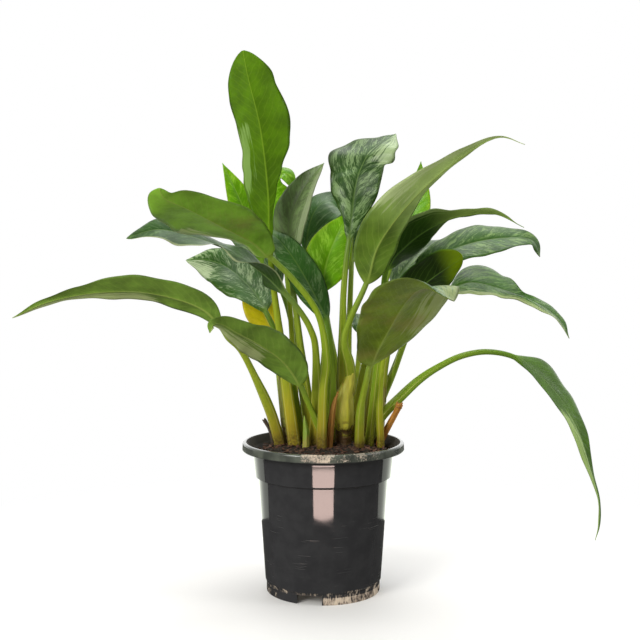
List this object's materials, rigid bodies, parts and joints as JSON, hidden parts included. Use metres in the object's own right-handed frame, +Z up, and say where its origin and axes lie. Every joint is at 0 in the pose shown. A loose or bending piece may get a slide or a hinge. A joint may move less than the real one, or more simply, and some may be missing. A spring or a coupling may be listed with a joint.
{
  "type": "potted chinese evergreen",
  "caption": "Leafy evergreen houseplant with long pointed leaves on arching stalks, some mottled silver, in a round black plastic nursery pot.",
  "frame": {"origin": "on the pot's axis, in the plane of its foot", "axes": "+Z up, +X towards the long drooping leaf, along the plant's longest extent; -Y faces the picture's camera"},
  "size_m": [0.6052, 0.3479, 0.5598],
  "materials": {
    "black_plastic": "satin",
    "potting_mix": "matte",
    "cane": "satin",
    "dry_petiole": "matte",
    "shoot": "satin",
    "silver_leaf": "satin",
    "olive_leaf": "satin",
    "young_leaf": "satin",
    "yellow_leaf": "satin"
  },
  "bodies": {
    "root": {"pot": "black_plastic", "soil": "potting_mix", "cane_left": "cane", "cane_centre": "cane", "cane_right": "cane", "cane_back": "cane", "stub_right": "dry_petiole", "stub_left": "dry_petiole", "new_shoot": "shoot", "dried_sheath": "dry_petiole", "leaf_tall_upright": "young_leaf", "leaf_upper_left": "olive_leaf", "leaf_under_left": "silver_leaf", "leaf_silver_left": "silver_leaf", "leaf_yellow": "yellow_leaf", "leaf_far_left": "olive_leaf", "leaf_lower_left": "olive_leaf", "leaf_grey_upright": "silver_leaf", "leaf_dark_centre": "silver_leaf", "leaf_top_silver": "silver_leaf", "leaf_small_arched": "silver_leaf", "leaf_young_centre": "young_leaf", "leaf_young_left": "young_leaf", "leaf_young_back": "young_leaf", "leaf_big_right": "olive_leaf", "leaf_young_right": "young_leaf", "leaf_dark_right": "silver_leaf", "leaf_silver_right": "silver_leaf", "leaf_glow_right": "young_leaf", "leaf_droop_right": "silver_leaf", "leaf_front_right": "olive_leaf", "leaf_lower_right": "olive_leaf", "leaf_back_centre": "silver_leaf", "leaf_back_right": "silver_leaf", "leaf_back_left": "silver_leaf", "leaf_back_upright": "olive_leaf", "leaf_back_low": "silver_leaf"}
  },
  "joints": []
}
